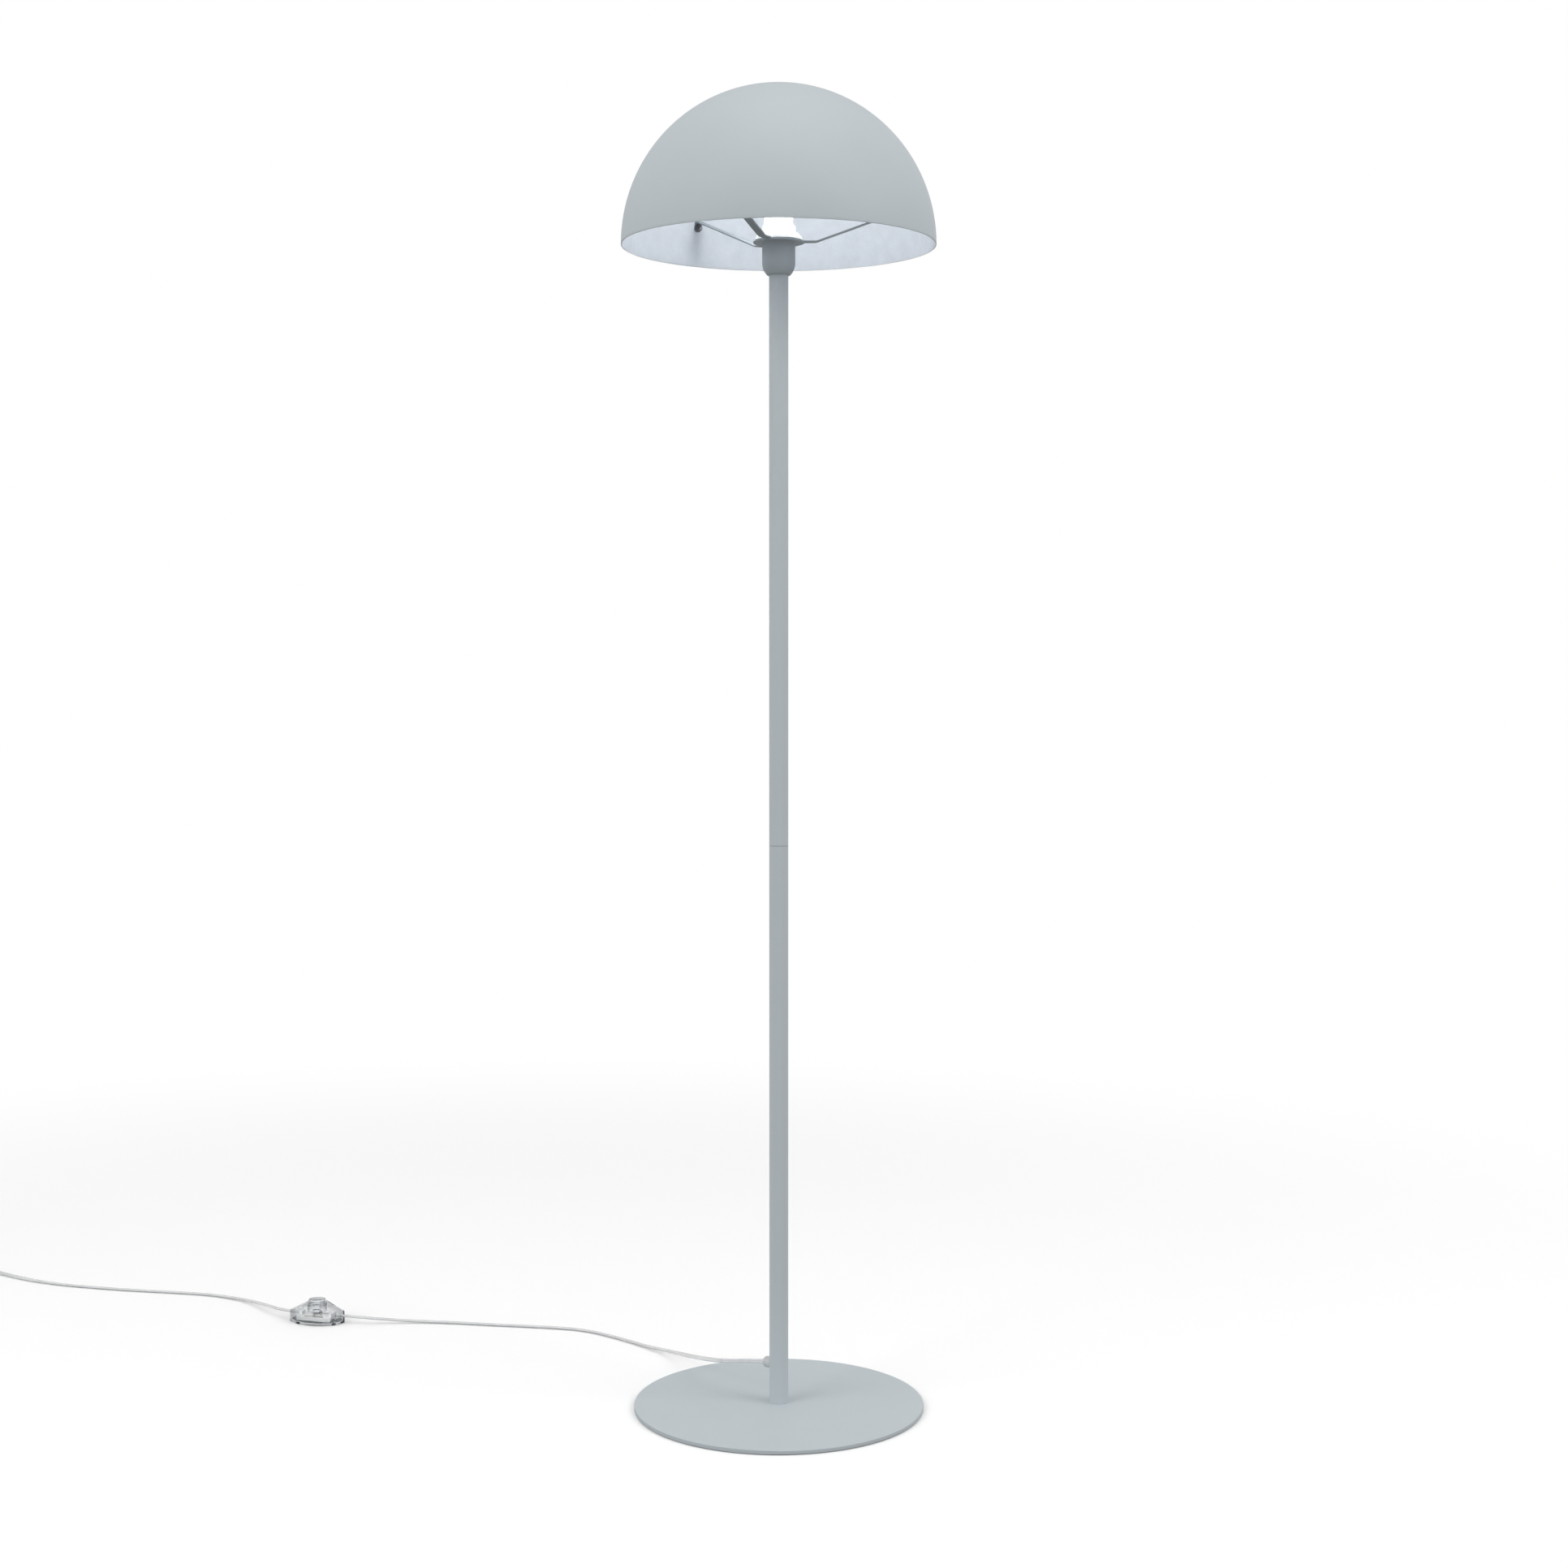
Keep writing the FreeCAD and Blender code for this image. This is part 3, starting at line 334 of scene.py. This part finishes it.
# Painted glow: the lampholder's skirt and clamp ring glow though they are no lamp, standing in for the bulb's
# light shining through them.
painted_glow_holder_plastic = moulded("lampholder_plastic_painted_glow", srgb(240, 240, 238), 0.35, Emission_Color=(1, 1, 1, 1),
                         Emission_Strength=HOLDER_PAINTED_GLOW)
grey_plastic = moulded("grey_translucent_plastic", srgb(196, 199, 201), 0.35, Subsurface_Weight=0.3,
                       Subsurface_Scale=0.002)
dark_plastic = moulded("dark_insulator", srgb(34, 33, 36), 0.4)
# The second colour of each clear plastic is the painted shade at its edges.
clear_plastic = clear("clear_plastic", srgb(246, 247, 248), srgb(165, 167, 169), 0.02, 1.06, 0.03)
milky_plastic = moulded("milky_clear_plastic", srgb(228, 230, 231), 0.3, Transmission_Weight=0.3, IOR=1.25)
smoke_plastic = clear("clear_base_plastic", srgb(206, 208, 210), srgb(170, 172, 174), 0.15, 1.15, 0.1)
clear_cord = flexible_jacket()
felt_pad = felt()
opal_glass = opal()
tinned = steel("tinned_strands", srgb(240, 240, 239), 0.6)

LOOKS = {
    "base_felt": felt_pad, "base_plate": paint, "base_screw": zinc, "foot_boss": zinc, "lower_tube": pole_paint,
    "cord_gland": grey_plastic, "lower_joint_bush": zinc, "joint_nipple": brass, "upper_joint_bush": zinc,
    "upper_tube": pole_paint, "top_bush": zinc, "top_nipple": brass, "lampholder_cup": painted_shade_fitting_coat,
    "lampholder_locknut": zinc, "lampholder_core": white_plastic, "terminal_screws": nickel,
    "centre_contact": brass, "screw_shell": brass, "lampholder_skirt": painted_glow_holder_plastic,
    "shade_carrier": painted_shade_carrier_coat, "clamp_ring": painted_glow_holder_plastic, "shade_dome": paint, "shade_studs": zinc,
    "shade_nuts": dark_steel,
    "bulb_cap": nickel, "bulb_tip": dark_plastic, "bulb_glass": opal_glass, "inner_lead": white_plastic,
    "lampholder_wires": white_plastic, "switch_plate": smoke_plastic, "switch_cover": clear_plastic,
    "switch_block": white_plastic, "switch_contacts": nickel, "switch_screws": zinc,
    "switch_button": clear_plastic, "button_spring": zinc, "coil_tie": milky_plastic,
    "plug_relief": milky_plastic, "plug_body": milky_plastic, "plug_pins": nickel,
}
for name, material in LOOKS.items():
    mesh = nodes[name].data
    mesh.materials.clear()
    mesh.materials.append(material)


# ------------------------------------------------------------------ mesh helpers
ON_AXIS = 1e-7           # a radius below this is the axis
UPRIGHT = 0.05           # a run this near to vertical keeps its last side direction
CURVE_STEPS = 12         # points on a curve for each control point
CURVE_ORDER = 3


def mesh_object(name, vertices, faces, material, smooth=True):
    mesh = bpy.data.meshes.new(name)
    mesh.from_pydata(vertices, [], faces)
    mesh.update()
    mesh.validate()
    mesh.polygons.foreach_set("use_smooth", [smooth] * len(mesh.polygons))
    made = bpy.data.objects.new(name, mesh)
    scene.collection.objects.link(made)
    mesh.materials.append(material)
    return made


def spun(name, outline, material, steps):
    """Closed mesh of revolution of (radius, z) points; a point at radius 0 becomes a pole."""
    vertices, faces, rings = [], [], []
    for radius, z in outline:
        if radius < ON_AXIS:
            rings.append([len(vertices)])
            vertices.append((0, 0, z))
        else:
            rings.append(list(range(len(vertices), len(vertices) + steps)))
            for k in range(steps):
                angle = 2 * math.pi * k / steps
                vertices.append((radius * math.cos(angle), radius * math.sin(angle), z))
    count = len(rings)
    for i in range(count):
        a, b = rings[i], rings[(i + 1) % count]
        for k in range(steps):
            n = (k + 1) % steps
            if len(a) == 1 and len(b) == 1:
                break
            if len(a) == 1:
                faces.append((a[0], b[n], b[k]))
            elif len(b) == 1:
                faces.append((a[k], a[n], b[0]))
            else:
                faces.append((a[k], a[n], b[n], b[k]))
    return mesh_object(name, vertices, faces, material)


def nurbs_line(name, points):
    """Points along the open NURBS line that has the given control points."""
    data = bpy.data.curves.new(name, "CURVE")
    data.dimensions = "3D"
    data.resolution_u = CURVE_STEPS
    spline = data.splines.new("NURBS")
    spline.points.add(len(points) - 1)
    for point, place in zip(spline.points, points):
        point.co = (*place, 1)
    spline.order_u = CURVE_ORDER
    spline.use_endpoint_u = True
    holder = bpy.data.objects.new(name, data)
    scene.collection.objects.link(holder)
    bpy.context.view_layer.update()
    mesh = bpy.data.meshes.new_from_object(holder)
    path = [vertex.co.copy() for vertex in mesh.vertices]
    bpy.data.meshes.remove(mesh)
    bpy.data.objects.remove(holder)
    bpy.data.curves.remove(data)
    return path


def sweep(name, path, profile, material, turn):
    """Tube along path with profile points (side, edge). turn(metres walked), in degrees, leans the profile's
    side direction from level to upright."""
    vertices, faces = [], []
    count = len(profile)
    walked = 0.0
    level = None
    for i, place in enumerate(path):
        tangent = (path[min(i + 1, len(path) - 1)] - path[max(i - 1, 0)]).normalized()
        if i:
            walked += (place - path[i - 1]).length
        side = tangent.cross(UP)
        if side.length < UPRIGHT and level:
            side = level
        side.normalize()
        level = side.copy()
        rise = side.cross(tangent).normalized()
        angle = math.radians(turn(walked))
        wide = side * math.cos(angle) + rise * math.sin(angle)
        thin = rise * math.cos(angle) - side * math.sin(angle)
        for s, e in profile:
            vertices.append(place + wide * s + thin * e)
    for i in range(len(path) - 1):
        for k in range(count):
            n = (k + 1) % count
            a, b = i * count, (i + 1) * count
            faces.append((a + k, a + n, b + n, b + k))
    faces.append(tuple(reversed(range(count))))
    last = (len(path) - 1) * count
    faces.append(tuple(last + k for k in range(count)))
    return mesh_object(name, vertices, faces, material)


def circle(radius, steps, at=0.0):
    """Profile points of a round wire, moved sideways by at."""
    return [(at + radius * math.cos(2 * math.pi * k / steps), radius * math.sin(2 * math.pi * k / steps))
            for k in range(steps)]


GROOVE = 0.25            # half width of the groove's floor between the cores, as a share of a core's radius
TWIN_STEPS = 12          # points round each core


def twin_profile():
    """Flat twin flex: two round cores side by side with a shallow groove between them."""
    radius = CORD_THICKNESS / 2
    off = CORD_WIDTH / 2 - radius
    meet = math.acos(min(1.0, (off - radius * GROOVE) / radius))
    points = []
    for k in range(TWIN_STEPS):
        angle = -math.pi + meet + (2 * math.pi - 2 * meet) * k / (TWIN_STEPS - 1)
        points.append((off + radius * math.cos(angle), radius * math.sin(angle)))
    return points + [(-x, -y) for x, y in points]


def smooth_step(value, low, high):
    t = max(0.0, min(1.0, (value - low) / (high - low)))
    return t * t * (3 - 2 * t)


def path_length(path):
    return sum((b - a).length for a, b in zip(path, path[1:]))


# ------------------------------------------------------------------ the cord, over the source's own points
# Its heights are lower on the floor, because the flat flex is thinner than the source's round one.
FLOOR_Z = 0.00185        # centre of the flex along the floor, 0.4 mm clear of it
lamp_route = [
    (-0.01560, 0.01092, 0.0492),
    (-0.0360, 0.0265, 0.0450),
    (-0.0660, 0.0580, 0.0350),
    (-0.0880, 0.0980, 0.0255),
    (-0.1070, 0.1410, 0.0155),
    (-0.1300, 0.1880, 0.0066),
    (-0.1630, 0.2240, 0.0024),
    (-0.2050, 0.2660, FLOOR_Z),
    (-0.2500, 0.3000, FLOOR_Z),
    (-0.3060, 0.3115, FLOOR_Z),
    (-0.3660, 0.3205, FLOOR_Z),
    (-0.4280, 0.3320, FLOOR_Z),
    (-0.4850, 0.3335, 0.0036),
    (-0.5357, 0.3254, 0.0100),
    (-0.5720, 0.3365, 0.0100),
]
plug_route = [
    (-0.6180, 0.3505, 0.0100),
    (-0.6410, 0.3575, 0.0100),
    (-0.6700, 0.3920, 0.0072),
    (-0.7040, 0.4310, 0.0030),
    (-0.7570, 0.4610, FLOOR_Z),
    (-0.8150, 0.4735, FLOOR_Z),
    (-0.8750, 0.4840, FLOOR_Z),
    (-0.9320, 0.4985, FLOOR_Z),
    (-0.9850, 0.5150, FLOOR_Z),
    (-1.0330, 0.5380, 0.0021),
    (-1.0760, 0.5665, 0.0030),
    (-1.1032, 0.5832, COIL_REST),
]


def coil_point(t):
    """In along the floor, up a layer about the middle of the turns, and out again on top."""
    middle = (COIL_START + COIL_END) / 2
    off = t - middle
    if abs(off) < COIL_CROSSING:
        run = off * off / (2 * COIL_CROSSING) + COIL_CROSSING / 2
        rise = smooth_step(off, -COIL_CROSSING, COIL_CROSSING)
    else:
        run = abs(off)
        rise = 0 if off < 0 else 1
    radius = COIL_RADIUS - COIL_PITCH / 360 * ((COIL_END - COIL_START) / 2 - run)
    angle = math.radians(t)
    height = COIL_REST + COIL_PITCH * rise
    return COIL_CENTRE + Vector((radius * math.cos(angle), radius * math.sin(angle), height))


coil_steps = round((COIL_END - COIL_START) / COIL_STEP)
coil_points = [coil_point(COIL_START + (COIL_END - COIL_START) * k / coil_steps) for k in range(1, coil_steps + 1)]
coil_points.append(coil_points[-1] + Vector((0, -COIL_LEAD, 0)))

lamp_path = nurbs_line("lamp_line", lamp_route)
plug_path = nurbs_line("plug_line", plug_route + [tuple(p) for p in coil_points])
plug_length = path_length(plug_path)
coil_from = plug_length - path_length(coil_points)

ON_EDGE = 90             # degrees
LAMP_TWIST = (0.06, 0.30)   # metres from the gland in which the flex turns flat
PLUG_TWIST = (0.16, 0.02)   # metres before the coil in which it turns on edge
CORE_OFFSET = CORD_WIDTH / 2 - CORD_THICKNESS / 2
CORE_RADIUS = 0.00045
CORE_STEPS = 8


def lamp_turn(walked):
    """On edge in the gland, flat on the floor, flat in the switch."""
    return ON_EDGE * (1 - smooth_step(walked, *LAMP_TWIST))


def plug_turn(walked):
    """Flat on the floor, on edge in the coil."""
    return ON_EDGE * smooth_step(walked, coil_from - PLUG_TWIST[0], coil_from - PLUG_TWIST[1])


def dressed_cord(name, path, turn):
    """A run of the flex, and the bright strands of its two cores."""
    flex = sweep(name, path, twin_profile(), clear_cord, turn)
    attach(flex, "lamp")
    cores = []
    for side in (-1, 1):
        core = sweep(f"{name}_core_{'left' if side < 0 else 'right'}", path[1:-1],
                     circle(CORE_RADIUS, CORE_STEPS, side * CORE_OFFSET), tinned, turn)
        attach(core, "lamp")
        cores.append(core)
    return flex, cores


lamp_cord, lamp_cores = dressed_cord("cord_lamp_side", lamp_path, lamp_turn)
plug_cord, plug_cores = dressed_cord("cord_plug_side", plug_path, plug_turn)
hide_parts("cord_to_switch")
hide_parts("cord_to_coil", "cord_coil")


# ------------------------------------------------------------------ button spring
SPRING_LOW, SPRING_HIGH = 0.00745, 0.02725
SPRING_TURNS, SPRING_STEPS = 4, 20
SPRING_RADIUS = 0.0055
SPRING_WIRE, WIRE_STEPS = 0.0004, 10
SPRING_CLOSE = 0.35      # share of the rise that is eased, so that the turns lie closer at both ends


def spring_point(k):
    """Point k of the wire, in the switch's own axes."""
    share = k / (SPRING_TURNS * SPRING_STEPS)
    angle = 2 * math.pi * k / SPRING_STEPS
    rise = smooth_step(share, 0.0, 1.0) * SPRING_CLOSE + share * (1 - SPRING_CLOSE)
    height = SPRING_LOW + (SPRING_HIGH - SPRING_LOW) * rise
    return Vector((SPRING_RADIUS * math.cos(angle), SPRING_RADIUS * math.sin(angle), height))


into_place = Matrix.Translation(SWITCH_CENTRE) @ Matrix.Rotation(SWITCH_TURN, 4, "Z")
spring_path = [into_place @ spring_point(k) for k in range(SPRING_TURNS * SPRING_STEPS + 1)]
spring = sweep("button_spring_wire", spring_path, circle(SPRING_WIRE, WIRE_STEPS), zinc, lambda walked: 0)
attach(spring, "lamp")
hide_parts("button_spring")
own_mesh(spring)


# ------------------------------------------------------------------ shade, with its two finishes
RIM_ROUND = 0.0003       # rounding of the rim's edges
RIM_CUT, RIM_RISE = 0.3, 0.00012   # its middle point: share of the rounding inwards, and height
RIM_ANGLE = 0.2          # degrees above the rim plane at which the arcs start
SHADE_RINGS, SHADE_STEPS = 96, 256
LEVEL = 0.999            # a face is level where its normal's z is above this
COAT_MARGIN = 0.0001     # faces this near to the inner radius are inner wall in any case


def arc_points(radius, low, high):
    """(radius, z) points of the shade's wall between two angles above the rim plane."""
    angles = [math.radians(low + (high - low) * k / SHADE_RINGS) for k in range(SHADE_RINGS + 1)]
    return [(radius * math.cos(angle), RIM_Z + radius * math.sin(angle)) for angle in angles]


outer = arc_points(SHADE_OUTER, RIM_ANGLE, 90)
inner = arc_points(SHADE_INNER, 90, RIM_ANGLE)
outer[-1] = (0, outer[-1][1])
inner[0] = (0, inner[0][1])
rim = [(SHADE_INNER + RIM_ROUND * RIM_CUT, RIM_Z + RIM_RISE), (SHADE_INNER + RIM_ROUND, RIM_Z),
       (SHADE_OUTER - RIM_ROUND, RIM_Z), (SHADE_OUTER - RIM_ROUND * RIM_CUT, RIM_Z + RIM_RISE)]
shade = spun("shade_shell", outer + inner + rim, paint, SHADE_STEPS)
shade.data.materials.append(inside_white)
for face in shade.data.polygons:
    from_centre = (face.center - Vector((0, 0, RIM_Z))).length
    sloped = abs(face.normal.z) < LEVEL
    if from_centre < SHADE_INNER + COAT_MARGIN or sloped and from_centre < (SHADE_INNER + SHADE_OUTER) / 2:
        face.material_index = 1
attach(shade, "lamp")
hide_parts("shade_dome")


# ------------------------------------------------------------------ floor and light
FLOOR_SEEN = 0.99        # the paper as the camera sees it
FLOOR_BOUNCE = 0.27      # what the floor sends back up on the object
FLOOR_LIFT = 0.03        # keeps the paper white without more light on the lamp
FLOOR_MIDDLE = (-0.35, 0.1, 0)
FLOOR_NEAR, FLOOR_FAR = 0.9, 2.3   # metres from its middle over which the floor fades to the white backdrop
FLOOR_LEVEL = -0.0001    # just under the felt
FLOOR_X, FLOOR_Y = (-14, 14), (-12, 20)
WORLD_LIGHT = 0.68

floor_look = bpy.data.materials.new("floor_paper")
floor_look.use_nodes = True
paper = Tree(floor_look.node_tree)
paper.tree.nodes.remove(paper.tree.nodes["Principled BSDF"])
seen = paper.add("ShaderNodeBsdfDiffuse")
seen.inputs["Color"].default_value = grey(FLOOR_SEEN)
far_white = paper.add("ShaderNodeEmission")
far_white.inputs["Color"].default_value = grey(1)
dim = paper.add("ShaderNodeBsdfDiffuse")
dim.inputs["Color"].default_value = grey(FLOOR_BOUNCE)
spot = paper.add("ShaderNodeTexCoord")
distance = paper.add("ShaderNodeVectorMath", operation="DISTANCE")
distance.inputs[1].default_value = FLOOR_MIDDLE
paper.link(spot.outputs["Object"], distance.inputs[0])
fade = paper.ranged(distance.outputs["Value"], FLOOR_NEAR, FLOOR_FAR, 0, 1, interpolation_type="SMOOTHSTEP")
rays = paper.add("ShaderNodeLightPath")
seen_by = paper.either(rays.outputs["Is Camera Ray"], rays.outputs["Is Glossy Ray"],
                       rays.outputs["Is Transmission Ray"])
lift = paper.add("ShaderNodeEmission")
lift.inputs["Strength"].default_value = FLOOR_LIFT
near = paper.add("ShaderNodeAddShader")
paper.link(seen.outputs[0], near.inputs[0])
paper.link(lift.outputs[0], near.inputs[1])
shown = paper.blend(fade, near.outputs[0], far_white.outputs[0])
paper.link(paper.blend(seen_by, dim.outputs[0], shown), paper.tree.nodes["Material Output"].inputs["Surface"])
floor_corners = [(FLOOR_X[i], FLOOR_Y[j], FLOOR_LEVEL) for i, j in ((0, 0), (1, 0), (1, 1), (0, 1))]
floor = mesh_object("floor", floor_corners, [(0, 1, 2, 3)], floor_look, False)

world = bpy.data.worlds.new("studio")
scene.world = world
world.use_nodes = True
sky = Tree(world.node_tree)
background = sky.tree.nodes["Background"]
background.inputs["Color"].default_value = grey(WORLD_LIGHT)
white = sky.add("ShaderNodeBackground")
white.inputs["Color"].default_value = grey(1)
rays = sky.add("ShaderNodeLightPath")
seen_by = sky.either(rays.outputs["Is Camera Ray"], rays.outputs["Is Transmission Ray"])
sky.link(sky.blend(seen_by, background.outputs[0], white.outputs[0]),
         sky.tree.nodes["World Output"].inputs["Surface"])


def area_light(name, place, target, size, power):
    """Square lamp at place, turned to target."""
    data = bpy.data.lights.new(name, "AREA")
    data.shape = "SQUARE"
    data.size = size
    data.energy = power
    lamp = bpy.data.objects.new(name, data)
    scene.collection.objects.link(lamp)
    lamp.location = place
    lamp.rotation_mode = "QUATERNION"
    lamp.rotation_quaternion = (Vector(target) - Vector(place)).to_track_quat("-Z", "Y")


area_light("overhead", (-0.2, -0.2, 4.2), (0, 0.1, 0), 3.6, 6)
area_light("left_front", (-3.4, -2.6, 2.9), (0, 0, 0.8), 2.8, 74)
area_light("right_high", (3.2, -1.5, 2.9), (0, 0, 1.2), 2.2, 54)

bpy.context.view_layer.update()
